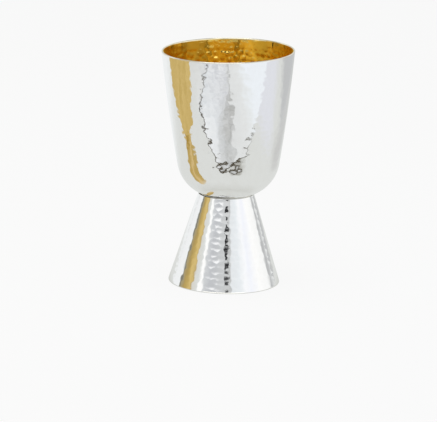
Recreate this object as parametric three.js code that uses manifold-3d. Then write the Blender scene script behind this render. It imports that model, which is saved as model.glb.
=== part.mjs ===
// A hammered silver chalice: a deep gilt-lined bowl on a plain conical foot.
//
// Two sheet-metal solids make it. The bowl is one raised cup, hollow to its rounded lip, and the foot is
// one hollow cone, open below, whose upper edge is cut to the curve of the bowl's underside.
// The bowl leans and stands a little off the foot's axis, as on the handmade original.
//
// Millimetres, +Z up. The origin is on the table, below the middle of the rim.

import * as THREE from "three";
import { mergeVertices } from "three/addons/utils/BufferGeometryUtils.js";
import Module from "manifold-3d";

// Bowl
const RIM_DIAMETER = 90;
const BOWL_HEIGHT = 101.5; // outside, from its lowest point to the lip
const BOWL_WALL = 1.2;
const SIDE_SLOPE = THREE.MathUtils.degToRad(5.8); // of the side at the rim, from the axis
const SIDE_RADIUS = 1200; // the faint belly of the side
const SHOULDER_RADIUS = 26.5;
const UNDERSIDE_RADIUS = 54;

// Foot
const BASE_DIAMETER = 75.6;
const SEAT_DIAMETER = 37.4; // outside, where the foot meets the bowl
const FOOT_WALL = 1.2;
const FOOT_EDGE_RADIUS = 0.5; // rounding of the edge that stands on the table

// How the bowl sits on the foot
const BOWL_FLOOR_LEVEL = 58.5; // the bowl's lowest point, above the table
const BOWL_LEAN = THREE.MathUtils.degToRad(1.6); // towards -X
const BOWL_SHIFT = 1.5; // of the bowl's lowest point from the foot's axis, towards +X
const SEAT_GAP = 0.3; // left all round between the foot's cut edge and the bowl

// Fineness of the round surfaces
const AROUND = 72;
const UNDERSIDE_STEPS = 4;
const SHOULDER_STEPS = 10;
const SIDE_STEPS = 3;
const LIP_STEPS = 4;
const EDGE_STEPS = 3;

const SILVER = 0xe4e4e0;
const HAMMERED_ROUGHNESS = 0.14;

const wasm = await Module();
wasm.setup();

// Points along an arc in the radius-height plane, both ends included.
function arc(centre, radius, from, to, steps) {
  return Array.from({ length: steps + 1 }, (_, i) => {
    const angle = from + ((to - from) * i) / steps;
    return new THREE.Vector2(
      centre.x + radius * Math.cos(angle),
      centre.y + radius * Math.sin(angle),
    );
  });
}

// The lower of the two points where two circles meet.
function lowerMeeting(centreA, radiusA, centreB, radiusB) {
  const between = centreB.clone().sub(centreA);
  const distance = between.length();
  const along = (radiusA ** 2 - radiusB ** 2 + distance ** 2) / (2 * distance);
  const across = Math.sqrt(radiusA ** 2 - along ** 2);
  const foot = centreA.clone().addScaledVector(between, along / distance);
  const side = new THREE.Vector2(-between.y, between.x).multiplyScalar(across / distance);
  return [foot.clone().add(side), foot.sub(side)].sort((p, q) => p.y - q.y)[0];
}

// The bowl's outside is three arcs that run into each other without a corner: the underside, centred on
// the axis, the shoulder, and the nearly straight side, which has its slope at the foot of the lip.
const lipLevel = BOWL_HEIGHT - BOWL_WALL / 2;
const undersideCentre = new THREE.Vector2(0, UNDERSIDE_RADIUS);
const sideCentre = new THREE.Vector2(
  RIM_DIAMETER / 2 - SIDE_RADIUS * Math.cos(SIDE_SLOPE),
  lipLevel + SIDE_RADIUS * Math.sin(SIDE_SLOPE),
);
const shoulderCentre = lowerMeeting(
  sideCentre,
  SIDE_RADIUS - SHOULDER_RADIUS,
  undersideCentre,
  UNDERSIDE_RADIUS - SHOULDER_RADIUS,
);
const shoulderStart = shoulderCentre.clone().sub(undersideCentre).angle() - 2 * Math.PI;
const shoulderEnd = shoulderCentre.clone().sub(sideCentre).angle() - 2 * Math.PI;

// The bowl's outline from its lowest point up to the foot of the lip, moved out by a distance.
// A negative distance gives the inside of the wall.
function bowlOutline(outwards) {
  const underside = arc(
    undersideCentre,
    UNDERSIDE_RADIUS + outwards,
    -Math.PI / 2,
    shoulderStart,
    UNDERSIDE_STEPS,
  );
  const shoulder = arc(
    shoulderCentre,
    SHOULDER_RADIUS + outwards,
    shoulderStart,
    shoulderEnd,
    SHOULDER_STEPS,
  );
  const side = arc(sideCentre, SIDE_RADIUS + outwards, shoulderEnd, -SIDE_SLOPE, SIDE_STEPS);
  underside[0].x = 0;
  return [...underside, ...shoulder.slice(1), ...side.slice(1)];
}

// A profile of radius and height turned about +Z.
function turned(profile) {
  return new THREE.LatheGeometry(profile, AROUND).rotateX(Math.PI / 2);
}

function solidOf(geometry) {
  const bare = geometry.clone();
  bare.deleteAttribute("normal");
  bare.deleteAttribute("uv");
  const merged = mergeVertices(bare, 1e-4);
  return new wasm.Manifold(
    new wasm.Mesh({
      numProp: 3,
      vertProperties: merged.attributes.position.array,
      triVerts: new Uint32Array(merged.index.array),
    }),
  );
}

function geometryOf(solid) {
  const { vertProperties, triVerts } = solid.getMesh();
  const geometry = new THREE.BufferGeometry();
  geometry.setAttribute("position", new THREE.BufferAttribute(vertProperties, 3));
  geometry.setIndex(new THREE.BufferAttribute(triVerts, 1));
  geometry.computeVertexNormals();
  return geometry;
}

function bowlGeometry() {
  const outside = bowlOutline(0);
  const inside = bowlOutline(-BOWL_WALL);
  const lipCentre = outside.at(-1).clone().add(inside.at(-1)).multiplyScalar(0.5);
  const lip = arc(lipCentre, BOWL_WALL / 2, -SIDE_SLOPE, Math.PI - SIDE_SLOPE, LIP_STEPS);
  return turned([...outside, ...lip.slice(1, -1), ...inside.reverse()]);
}

// The bowl filled in and grown by the seat's gap: what the foot's upper edge is cut to.
function seatCutter() {
  const skin = bowlOutline(SEAT_GAP);
  return turned([...skin, new THREE.Vector2(0, skin.at(-1).y)]);
}

// Puts a shape of the bowl's own frame, with its lowest point at zero, where the bowl sits on the foot.
function seated(geometry) {
  return geometry.rotateY(-BOWL_LEAN).translate(BOWL_SHIFT, 0, BOWL_FLOOR_LEVEL);
}

// The foot's wall runs straight from its rounded edge on the table to the seat under the bowl, and then
// a little further, into the bowl, so that the cut leaves the whole edge fitted.
function footGeometry() {
  const seatRadius = SEAT_DIAMETER / 2;
  const seatLevel =
    BOWL_FLOOR_LEVEL + UNDERSIDE_RADIUS - Math.sqrt(UNDERSIDE_RADIUS ** 2 - seatRadius ** 2);
  const edgeCentre = new THREE.Vector2(BASE_DIAMETER / 2 - FOOT_EDGE_RADIUS, FOOT_EDGE_RADIUS);
  const run = edgeCentre.x - seatRadius;
  const rise = seatLevel - edgeCentre.y;
  const slope = Math.atan2(run, rise) + Math.asin(FOOT_EDGE_RADIUS / Math.hypot(run, rise));
  const outsideAt = (level) => seatRadius + (seatLevel - level) * Math.tan(slope);
  const insideAt = (level) => outsideAt(level) - FOOT_WALL / Math.cos(slope);
  const topLevel = seatLevel + 2 * FOOT_WALL;
  const edge = arc(edgeCentre, FOOT_EDGE_RADIUS, -Math.PI / 2, slope, EDGE_STEPS);
  const cone = turned([
    new THREE.Vector2(insideAt(0), 0),
    ...edge,
    new THREE.Vector2(outsideAt(topLevel), topLevel),
    new THREE.Vector2(insideAt(topLevel), topLevel),
    new THREE.Vector2(insideAt(0), 0),
  ]);
  return geometryOf(solidOf(cone).subtract(solidOf(seated(seatCutter()))));
}

function silver() {
  return new THREE.MeshStandardMaterial({
    color: SILVER,
    metalness: 1,
    roughness: HAMMERED_ROUGHNESS,
  });
}

function piece(name, geometry) {
  const mesh = new THREE.Mesh(geometry, silver());
  mesh.name = name;
  return mesh;
}

const chalice = new THREE.Group();
chalice.name = "chalice";
chalice.add(piece("bowl", seated(bowlGeometry())));
chalice.add(piece("foot", footGeometry()));
chalice.position.x = lipLevel * Math.sin(BOWL_LEAN) - BOWL_SHIFT; // the rim's middle comes over the origin

export default chalice;
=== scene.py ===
# %% [markdown]
# # A hammered silver chalice with a gilt bowl
#
# The object is a cup raised from sheet metal, planished all over with a small hammer, plated with silver,
# gilded inside, and soldered to a plain hammered cone. Almost all that the eye sees on it is reflection, so
# this lesson spends its steps on three things: the relief that the hammer leaves, two metal finishes, and a
# small studio for the metal to reflect.
#
# The imported model is loaded first. It is the fixed frame.

import math

import bmesh
import bpy
import numpy as np
from mathutils import Matrix


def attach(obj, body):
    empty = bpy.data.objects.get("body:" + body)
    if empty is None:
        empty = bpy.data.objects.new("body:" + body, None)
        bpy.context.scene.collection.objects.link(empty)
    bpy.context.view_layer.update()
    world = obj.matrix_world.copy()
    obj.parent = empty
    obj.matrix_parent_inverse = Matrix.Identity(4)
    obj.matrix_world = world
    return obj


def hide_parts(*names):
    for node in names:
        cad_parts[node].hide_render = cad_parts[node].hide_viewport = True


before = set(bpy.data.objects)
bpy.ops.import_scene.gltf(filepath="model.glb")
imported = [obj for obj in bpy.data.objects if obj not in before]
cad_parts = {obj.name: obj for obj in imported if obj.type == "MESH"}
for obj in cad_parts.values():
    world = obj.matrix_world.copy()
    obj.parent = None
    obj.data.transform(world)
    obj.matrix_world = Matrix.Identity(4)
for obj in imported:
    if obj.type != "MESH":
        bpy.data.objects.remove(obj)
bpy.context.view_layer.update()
print("pieces of the packed model:", sorted(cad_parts))

# %% [markdown]
# ## The camera
#
# A long lens far away draws the cup almost without perspective, as in a catalogue picture. The numbers come
# from fitting a pinhole camera to the outline of the rim, the sides and the foot. The small roll is real:
# the bowl stands upright in the picture and the foot leans, so the camera shares out the difference.

# %% Camera
PICTURE_WIDTH = 437  # pixels
SENSOR_WIDTH = 36.0  # millimetres
CLIP_NEAR, CLIP_FAR = 0.1, 50.0
CAMERA_DISTANCE = 2.5
CAMERA_ELEVATION = math.radians(14.6)
CAMERA_ROLL = math.radians(1.607)
FOCAL_PIXELS = 3657.0
AIM = np.array([-0.0036, 0.0, 0.0484])


def unit(vector):
    """The vector shortened or stretched to a length of one."""
    return vector / np.linalg.norm(vector)


def camera_axes(position, aim, roll):
    """The camera's right, up and backward directions: backward points from the aim to the camera, right
    is level, up is square to both, and then right and up are both turned by the roll."""
    backward = unit(position - aim)
    right = unit(np.cross([0.0, 0.0, 1.0], backward))
    up = np.cross(backward, right)
    rolled_right = right * math.cos(roll) + up * math.sin(roll)
    rolled_up = up * math.cos(roll) - right * math.sin(roll)
    return np.column_stack([rolled_right, rolled_up, backward])


def new_object(name, data):
    """A new object in the scene that shows a mesh, or is a camera or a lamp."""
    made = bpy.data.objects.new(name, data)
    bpy.context.scene.collection.objects.link(made)
    return made


def add_camera():
    """A camera at a distance and elevation from the origin, looking along +Y at the aim."""
    position = CAMERA_DISTANCE * np.array([0.0, -math.cos(CAMERA_ELEVATION), math.sin(CAMERA_ELEVATION)])
    placed = np.eye(4)
    placed[:3, :3] = camera_axes(position, AIM, CAMERA_ROLL)
    placed[:3, 3] = position
    data = bpy.data.cameras.new("camera")
    data.sensor_width = SENSOR_WIDTH
    data.lens = FOCAL_PIXELS / PICTURE_WIDTH * SENSOR_WIDTH
    data.clip_start = CLIP_NEAR
    data.clip_end = CLIP_FAR
    camera = new_object("camera", data)
    camera.matrix_world = Matrix(placed.tolist())
    bpy.context.scene.camera = camera
    return camera


camera = add_camera()
bpy.context.scene.view_settings.view_transform = "Standard"
print(f"lens {camera.data.lens:.1f} mm, {CAMERA_DISTANCE} m from the cup")

# %% [markdown]
# ## The line of the bowl
#
# A raised bowl is turned in the mind before it is hammered: one line, carried round the axis. Here the line
# is three arcs that run into each other without a corner, a shallow underside, a tight shoulder and a side
# so nearly straight that its arc has a radius of more than a metre. Walking along the line by distance
# makes evenly spaced points, which hammer marks need.

# %% The bowl's line
MM = 0.001
RIM_RADIUS = 45.0 * MM
BOWL_HEIGHT = 101.5 * MM
WALL = 1.2 * MM
SIDE_SLOPE = math.radians(5.8)
SIDE_ARC = 1200.0 * MM
SHOULDER_ARC = 26.5 * MM
UNDERSIDE_ARC = 54.0 * MM
LIP_LEVEL = BOWL_HEIGHT - WALL / 2

underside_centre = np.array([0.0, UNDERSIDE_ARC])
side_centre = np.array([
    RIM_RADIUS - SIDE_ARC * math.cos(SIDE_SLOPE),
    LIP_LEVEL + SIDE_ARC * math.sin(SIDE_SLOPE),
])


def lower_meeting(centre_a, radius_a, centre_b, radius_b):
    """The lower point where two circles meet: go from one centre towards the other as far as the chord
    between the meeting points, then square to that by half the chord."""
    between = centre_b - centre_a
    distance = np.linalg.norm(between)
    along = (radius_a**2 - radius_b**2 + distance**2) / (2 * distance)
    across = math.sqrt(radius_a**2 - along**2)
    chord = np.array([-between[1], between[0]]) / distance
    middle = centre_a + between / distance * along
    return min(middle + across * chord, middle - across * chord, key=lambda point: point[1])


shoulder_centre = lower_meeting(
    side_centre, SIDE_ARC - SHOULDER_ARC, underside_centre, UNDERSIDE_ARC - SHOULDER_ARC
)
SHOULDER_START = math.atan2(*(shoulder_centre - underside_centre)[::-1])
SHOULDER_END = math.atan2(*(shoulder_centre - side_centre)[::-1])

# One row per arc: centre, radius, first and last angle.
BOWL_ARCS = np.array([
    [*underside_centre, UNDERSIDE_ARC, -math.pi / 2, SHOULDER_START],
    [*shoulder_centre, SHOULDER_ARC, SHOULDER_START, SHOULDER_END],
    [*side_centre, SIDE_ARC, SHOULDER_END, -SIDE_SLOPE],
])
ARC_LENGTHS = BOWL_ARCS[:, 2] * (BOWL_ARCS[:, 4] - BOWL_ARCS[:, 3])
ARC_STARTS = np.concatenate([[0.0], np.cumsum(ARC_LENGTHS)[:-1]])
BOWL_LINE = ARC_LENGTHS.sum()


def bowl_line(along, outwards=0.0):
    """Radius and height of the point at a distance along the bowl's line, moved out by a distance.
    Formula: find the arc that the distance falls on, turn from its first angle by the distance into the
    arc over the arc's radius, and stand off from its centre by the radius plus the outward distance."""
    along = np.asarray(along, float)
    which = np.clip(np.searchsorted(ARC_STARTS, along, side="right") - 1, 0, len(BOWL_ARCS) - 1)
    centre_r, centre_z, radius, first, _ = np.moveaxis(BOWL_ARCS[which], -1, 0)
    angle = first + (along - ARC_STARTS[which]) / radius
    reach = radius + outwards
    return centre_r + reach * np.cos(angle), centre_z + reach * np.sin(angle)


print(f"the bowl's line is {BOWL_LINE / MM:.1f} mm from the lowest point to the lip,")
print("its arcs in mm:", np.round(ARC_LENGTHS / MM, 1))

# %% [markdown]
# ## From the bowl's own frame to its seat
#
# The bowl leans a little and stands a little off the foot's axis, as handwork does. Each bowl surface is
# worked out upright on its own axis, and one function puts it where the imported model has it.

# %% Seating the bowl
BOWL_FLOOR_LEVEL = 58.5 * MM
BOWL_LEAN = math.radians(1.6)
BOWL_SHIFT = 1.5 * MM
FOOT_AXIS = LIP_LEVEL * math.sin(BOWL_LEAN) - BOWL_SHIFT
LEAN_MATRIX = np.array([
    [math.cos(BOWL_LEAN), 0.0, -math.sin(BOWL_LEAN)],
    [0.0, 1.0, 0.0],
    [math.sin(BOWL_LEAN), 0.0, math.cos(BOWL_LEAN)],
])
BOWL_FOOT_POINT = np.array([FOOT_AXIS + BOWL_SHIFT, 0.0, BOWL_FLOOR_LEVEL])


def carried_round(radius, height, angle):
    """Points of a line carried round the axis: radius times sine and minus cosine of the angle, and the
    height as it is. Angle zero faces the camera."""
    radius, height, angle = np.broadcast_arrays(radius, height, angle)
    return np.stack([radius * np.sin(angle), -radius * np.cos(angle), height], axis=-1)


def seated(points):
    """The bowl's own frame leaned about Y and moved so that its lowest point sits over the foot."""
    return points @ LEAN_MATRIX.T + BOWL_FOOT_POINT


def unseated(points):
    """The way back, from the part's frame to the bowl's own frame."""
    return (points - BOWL_FOOT_POINT) @ LEAN_MATRIX


lip_middle = seated(np.array([0.0, 0.0, LIP_LEVEL]))
print("the middle of the rim, in mm:", np.round(lip_middle / MM, 2))

# %% [markdown]
# ## Hammer marks
#
# Planishing leaves rings of overlapping, nearly flat dishes. A bump texture could fake them, but the jagged
# edges of the reflections come from the real slopes, so the marks are cut into the mesh. A noise texture
# has no dishes, and carving each blow in turn would need a loop, so the surface is found in one step: each
# blow is a shallow paraboloid, and the deepest one wins, softly, where two of them overlap.

# %% The hammered relief
NEIGHBOURS = range(-2, 3)
SPARE_RINGS = 4
FEWEST_BLOWS = 5  # in the smallest ring


def hammer_marks(along, angle, ring_radius_at, marks):
    """How deep the skin is pressed, for every distance along the line and angle round it.

    Rings of blows stand a pitch apart, and each ring holds as many as its girth allows. A blow is moved
    from its even place by a seeded random share of the pitch and the spacing, and struck a little deeper
    or shallower. Its dish is: depth - d1 squared / (2 hollow along) - d2 squared / (2 hollow around),
    where d1 and d2 are the distances from the blow along and round the skin. All dishes near a point and
    the untouched skin (zero) are joined by a soft maximum, softness * log(sum(exp(dish / softness)))."""
    rings = int(np.ceil(along.max() / marks["pitch"])) + SPARE_RINGS
    ring_at = np.arange(rings) * marks["pitch"]
    girth = 2 * math.pi * np.maximum(ring_radius_at(ring_at), marks["spacing"])
    count = np.maximum(np.round(girth / marks["spacing"]), FEWEST_BLOWS).astype(int)
    draws = np.random.default_rng(marks["seed"]).uniform(-0.5, 0.5, (4, rings, count.max()))
    off_along = draws[0] * marks["stray_along"] * marks["pitch"]
    off_around, off_depth = draws[1] * marks["stray_around"], draws[2] * marks["uneven"]
    turned_by = draws[3, :, 0]
    radius_here = ring_radius_at(along)
    nearest_ring = np.round(along / marks["pitch"]).astype(int)
    total = np.ones(np.broadcast_shapes(along.shape, angle.shape))
    for ring_step in NEIGHBOURS:
        ring = np.clip(nearest_ring + ring_step, 0, rings - 1)
        real_ring = nearest_ring + ring_step >= 0
        in_ring = count[ring]
        step = 2 * math.pi / in_ring
        nearest_blow = np.floor(angle / step + turned_by[ring]).astype(int)
        for blow_step in NEIGHBOURS:
            blow = nearest_blow + blow_step
            which = blow % in_ring
            blow_angle = (blow + 0.5 - turned_by[ring] + off_around[ring, which]) * step
            d1 = along - ring_at[ring] - off_along[ring, which]
            d2 = (angle - blow_angle) * radius_here
            dish = marks["depth"] + off_depth[ring, which] - d1**2 / (2 * marks["hollow_along"])
            dish = dish - d2**2 / (2 * marks["hollow_around"])
            total += real_ring * np.exp(dish / marks["softness"])
    return marks["softness"] * np.log(total)


# The four hammers side by side, in the order of the names below the table.
HAMMERS = {
    "pitch": (3.5 * MM, 7.6 * MM, 3.8 * MM, 3.9 * MM),  # between rings of blows
    "spacing": (4.2 * MM, 8.8 * MM, 4.4 * MM, 5.0 * MM),  # between blows in a ring
    "stray_along": (0.5, 0.7, 0.6, 0.55),  # shares of the pitch and of the spacing
    "stray_around": (0.6, 0.7, 0.7, 0.6),
    "depth": (0.055 * MM, 0.10 * MM, 0.165 * MM, 0.062 * MM),
    "uneven": (0.025 * MM, 0.06 * MM, 0.08 * MM, 0.03 * MM),  # how far the depth varies
    "hollow_along": (75.0 * MM, 130.0 * MM, 14.0 * MM, 52.0 * MM),  # radii of a dish
    "hollow_around": (60.0 * MM, 115.0 * MM, 20.0 * MM, 75.0 * MM),
    "softness": (0.008 * MM, 0.015 * MM, 0.012 * MM, 0.008 * MM),  # where two dishes join
    "seed": (11, 23, 31, 5),
}
PLANISHING, RAISING, INSIDE_MARKS, FOOT_PLANISHING = (
    dict(zip(HAMMERS, measures)) for measures in zip(*HAMMERS.values())
)
AROUND = 448
angles = np.arange(AROUND) * 2 * math.pi / AROUND
for place, marks in (("bowl", PLANISHING), ("inside", INSIDE_MARKS), ("foot", FOOT_PLANISHING)):
    pitch, spacing = marks["pitch"] / MM, marks["spacing"] / MM
    print(f"{place}: rings of blows {pitch:.1f} mm apart, blows {spacing:.1f} mm apart in a ring")

# %% [markdown]
# ## From a grid to a mesh
#
# Every surface here is a section carried round an axis, so one function makes them all: rings of points,
# joined by four-sided faces to the next ring and closed round the axis. At a pole the whole ring is one
# point, so its doubles are merged. The volume is printed as a test: it comes out positive only if the
# faces point outwards.

# %% Rings of points to a closed mesh
POLE_MERGE = 1e-7
CUBIC_CENTIMETRES = 1e6  # in a cubic metre
pieces_made = []


def closed_volume(mesh):
    """Volume in cubic centimetres: each triangle's corner points give a sixth of their box product."""
    mesh.calc_loop_triangles()
    corners = np.empty(len(mesh.loop_triangles) * 3, np.int32)
    mesh.loop_triangles.foreach_get("vertices", corners)
    points = np.empty(len(mesh.vertices) * 3)
    mesh.vertices.foreach_get("co", points)
    a, b, c = np.moveaxis(points.reshape(-1, 3)[corners.reshape(-1, 3)], 1, 0)
    return np.einsum("ij,ij->", a, np.cross(b, c)) / 6 * CUBIC_CENTIMETRES


def mesh_from_rings(name, rings, depths, loop):
    """A mesh from an array of rings, angles and coordinates. The faces join each ring to the next, and
    the last to the first where the section is a loop. The depth of the marks goes along as an attribute."""
    count, around = rings.shape[:2]
    index = np.arange(count * around).reshape(count, around)
    if loop:
        index = np.vstack([index, index[:1]])
    beside = np.roll(index, -1, axis=1)
    quads = np.stack([index[:-1], beside[:-1], beside[1:], index[1:]], axis=-1).reshape(-1, 4)
    mesh = bpy.data.meshes.new(name)
    mesh.from_pydata(rings.reshape(-1, 3), [], quads)
    mesh.attributes.new("pressed", "FLOAT", "POINT").data.foreach_set("value", depths.ravel())
    if not loop:
        merge_poles(mesh)
    mesh.polygons.foreach_set("use_smooth", np.ones(len(mesh.polygons), bool))
    mesh.validate()
    piece = new_object(name, mesh)
    pieces_made.append(piece)
    print(f"{name}: volume {closed_volume(mesh):.2f} cm3, {len(mesh.loop_triangles)} triangles")
    return piece


def merge_poles(mesh):
    """Merges the points of a mesh that share a place, which closes the poles."""
    work = bmesh.new()
    work.from_mesh(mesh)
    bmesh.ops.remove_doubles(work, verts=work.verts, dist=POLE_MERGE)
    work.to_mesh(mesh)
    work.free()


# %% [markdown]
# ## The bowl's sections
#
# The outside follows the bowl's line, pressed in by the marks. The marks fade just below the lip, which is
# filed round, and at the very bottom, where the foot hides the bowl. The gilding covers the inside, so the
# silver needs only a plain inner face behind it: that keeps the faces for what shows.

# %% Sections of the bowl
LIP_FADE = 1.6 * MM
POLE_FADE = 6.0 * MM
SEAT_ALONG = 17.0 * MM  # the part of the line that the foot hides
HIDDEN_UNDERSIDE_RINGS = 14
OUTSIDE_RINGS = 182
LIP_RINGS = 7
HIDDEN_LIP_RINGS = 3
HIDDEN_RINGS = 14
SILVER_BACK = 0.30 * MM  # how far the silver's hidden face stands behind the gilt one
GILDING_BACK = 0.18 * MM
QUIET_SHARE, HEAVY_SHARE = 0.12, 0.95
HEAVY_WIDTH = math.radians(24)
SMOOTHED_SHARE = 0.18  # what is left of the inside marks just below the lip
SMOOTHED_TO, MARKED_FROM = 4.5 * MM, 8.5 * MM


def smooth_step(value, low, high):
    """Zero below low, one above high, and 3 t squared - 2 t cubed between them."""
    t = np.clip((value - low) / (high - low), 0, 1)
    return t * t * (3 - 2 * t)


def faded(pressed, along):
    """Marks less their mean, so that the wall stays where the line has it, faded to nothing at the lip
    and at the lowest point."""
    fade = (1 - smooth_step(along, BOWL_LINE - LIP_FADE, BOWL_LINE)) * smooth_step(along, 0, POLE_FADE)
    return (pressed - pressed.mean()) * fade[:, None]


def bowl_marks(along, marks):
    """The marks of one hammer at distances along the bowl's line, all the way round."""
    return hammer_marks(along[:, None], angles[None, :], lambda s: bowl_line(s)[0], marks)


def outside_depths(along):
    """Planishing marks over what is left of the raising marks. These were left strongest on one face:
    their share is quiet + heavy * exp(-(angle / width) squared)."""
    from_front = (angles + math.pi) % (2 * math.pi) - math.pi
    heavy = QUIET_SHARE + HEAVY_SHARE * np.exp(-((from_front / HEAVY_WIDTH) ** 2))
    raising = bowl_marks(along, RAISING)
    pressed = bowl_marks(along, PLANISHING) + (raising - raising.mean()) * heavy[None, :]
    return faded(pressed, along)


def inside_depths(along):
    """The inside follows the raising marks a little and has the deeper marks of its own hammer, which
    were smoothed away near the lip."""
    own = bowl_marks(along, INSIDE_MARKS)
    below_lip = BOWL_LINE - along
    share = SMOOTHED_SHARE + (1 - SMOOTHED_SHARE) * smooth_step(below_lip, SMOOTHED_TO, MARKED_FROM)
    return faded(bowl_marks(along, RAISING) * QUIET_SHARE + (own - own.mean()) * share[:, None], along)


def lip_rings(first, last, radius, count):
    """Rings round the rounded lip: an arc about the middle of the wall's end, from one angle to another."""
    outer, inner = np.array(bowl_line(BOWL_LINE)), np.array(bowl_line(BOWL_LINE, -WALL))
    middle = (outer + inner) / 2
    turn = np.linspace(first, last, count)[:, None]
    return middle[0] + radius * np.cos(turn), middle[1] + radius * np.sin(turn)


def stack_sections(sections):
    """Several (radius, height) bands of one section, carried round and stacked into one array of rings.
    The first and the last ring are poles and lie on the axis."""
    rings = np.concatenate([carried_round(radius, height, angles[None, :]) for radius, height in sections])
    rings[[0, -1], :, :2] = 0.0
    return rings


print("rings of the bowl's outside:", OUTSIDE_RINGS, "with", AROUND, "points each")

# %% [markdown]
# ## The silver bowl, ring by ring
#
# The section is one open line from pole to pole: up the outside, over the outer half of the lip, and down
# the hidden face behind the gilding. Where the foot hides the underside a few rings are enough, and the
# rest of the rings go where the marks show.

# %% The silver bowl
CROWN = math.pi / 2
outside_along = np.concatenate([
    np.linspace(0, SEAT_ALONG, HIDDEN_UNDERSIDE_RINGS, endpoint=False),
    np.linspace(SEAT_ALONG, BOWL_LINE, OUTSIDE_RINGS - HIDDEN_UNDERSIDE_RINGS),
])
outside_depth = outside_depths(outside_along)
hidden_along = np.linspace(BOWL_LINE, 0, HIDDEN_RINGS)[:, None]
silver_sections = [
    bowl_line(outside_along[:, None], -outside_depth),
    lip_rings(-SIDE_SLOPE, CROWN, WALL / 2, LIP_RINGS),
    lip_rings(CROWN, math.pi - SIDE_SLOPE, WALL / 2 - SILVER_BACK, HIDDEN_LIP_RINGS),
    bowl_line(hidden_along, SILVER_BACK - WALL),
]
silver_rings = stack_sections(silver_sections)
silver_depths = np.zeros(silver_rings.shape[:2])
silver_depths[:OUTSIDE_RINGS] = outside_depth
bowl_silver = mesh_from_rings("bowl_silver", seated(silver_rings), silver_depths, loop=False)

# %% [markdown]
# ## The gilding
#
# Gilding is a skin of a few thousandths of a millimetre, laid over the inside and the inner half of the
# lip. It is made as a piece of its own, a little thicker than life, because a piece has one finish. A blow
# from outside pushes the inside out by as much, so the same marks shape it, and the wall keeps its
# thickness.

# %% The gilding
GILT_RINGS = 170
gilt_along = np.linspace(BOWL_LINE, 0, GILT_RINGS)
gilt_depth = inside_depths(gilt_along)
gilt_sections = [
    bowl_line(hidden_along[::-1], GILDING_BACK - WALL),
    lip_rings(math.pi - SIDE_SLOPE, CROWN, WALL / 2 - GILDING_BACK, HIDDEN_LIP_RINGS),
    lip_rings(CROWN, math.pi - SIDE_SLOPE, WALL / 2, LIP_RINGS),
    bowl_line(gilt_along[1:, None], -WALL - gilt_depth[1:]),
]
gilt_rings = stack_sections(gilt_sections)
gilt_depths = np.zeros(gilt_rings.shape[:2])
gilt_depths[-(GILT_RINGS - 1):] = gilt_depth[1:]
bowl_gilding = mesh_from_rings("bowl_gilding", seated(gilt_rings), gilt_depths, loop=False)

# %% [markdown]
# ## The foot's seat
#
# The foot is a cone of the same sheet, standing on a rounded edge. Its upper edge is fitted to the bowl,
# and because the bowl leans, that edge is higher on one side. For each angle round the foot the wall is
# followed upwards until the fitting gap is left, which needs only a few steps for all angles at once. The
# outer corner of the edge is dressed with a small round, and this is the light line under the bowl.

# %% Where the foot meets the bowl
BASE_RADIUS = 37.8 * MM
SEAT_RADIUS = 18.7 * MM
FOOT_WALL = 1.2 * MM
FOOT_EDGE = 0.5 * MM
SEAT_GAP = 0.3 * MM
FITTING_STEPS = 20
SEAT_LEVEL = BOWL_FLOOR_LEVEL + UNDERSIDE_ARC - math.sqrt(UNDERSIDE_ARC**2 - SEAT_RADIUS**2)

foot_run = BASE_RADIUS - FOOT_EDGE - SEAT_RADIUS
foot_rise = SEAT_LEVEL - FOOT_EDGE
FOOT_SLOPE = math.atan2(foot_run, foot_rise) + math.asin(FOOT_EDGE / math.hypot(foot_run, foot_rise))


def foot_radius(level, outwards=0.0):
    """Radius of the cone at a level: the seat's radius plus the drop from the seat times the tangent of
    the slope, and the outward distance over its cosine."""
    return SEAT_RADIUS + (SEAT_LEVEL - level) * math.tan(FOOT_SLOPE) + outwards / math.cos(FOOT_SLOPE)


def gap_to_bowl(points):
    """Distance from points near the seat to the bowl's skin: in the bowl's own frame, the distance to the
    arc's centre less its radius, for the shoulder's arc or the underside's, whichever faces the point."""
    own = unseated(points)
    radius, height = np.hypot(own[..., 0], own[..., 1]), own[..., 2]
    turn = np.arctan2(height - shoulder_centre[1], radius - shoulder_centre[0])
    on_shoulder = turn > SHOULDER_START
    from_shoulder = np.hypot(radius - shoulder_centre[0], height - shoulder_centre[1]) - SHOULDER_ARC
    from_underside = np.hypot(radius, height - UNDERSIDE_ARC) - UNDERSIDE_ARC
    return np.where(on_shoulder, from_shoulder, from_underside)


def on_foot(radius, level):
    """Points round the foot's own axis."""
    return carried_round(radius, level, angles) + np.array([FOOT_AXIS, 0.0, 0.0])


def fitted_level(outwards):
    """The level, for each angle, where the foot's skin comes within the fitting gap of the bowl: start
    at the seat and go up, again and again, by what is left of the gap."""
    level = np.full(AROUND, SEAT_LEVEL)
    for _ in range(FITTING_STEPS):
        level = level + gap_to_bowl(on_foot(foot_radius(level, outwards), level)) - SEAT_GAP
    return level


outer_level = fitted_level(0.0)
inner_level = fitted_level(-FOOT_WALL)
print("the foot's upper edge is at", np.round([outer_level.min() / MM, outer_level.max() / MM], 2), "mm")

# %% [markdown]
# ## The foot, ring by ring
#
# The foot's section is a loop, because it is open below: the standing edge, the outside with its marks, the
# dressed corner, and the inside back down. Its marks are finer than the bowl's and stand in closer rings,
# as they do when a cone is planished on a stake.

# %% The foot
FOOT_OUTSIDE_RINGS = 120
FOOT_INSIDE_RINGS = 62
EDGE_RINGS = 6
CORNER_RINGS = 6
CORNER = 0.45 * MM
FOOT_FADE = 1.6 * MM


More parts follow.
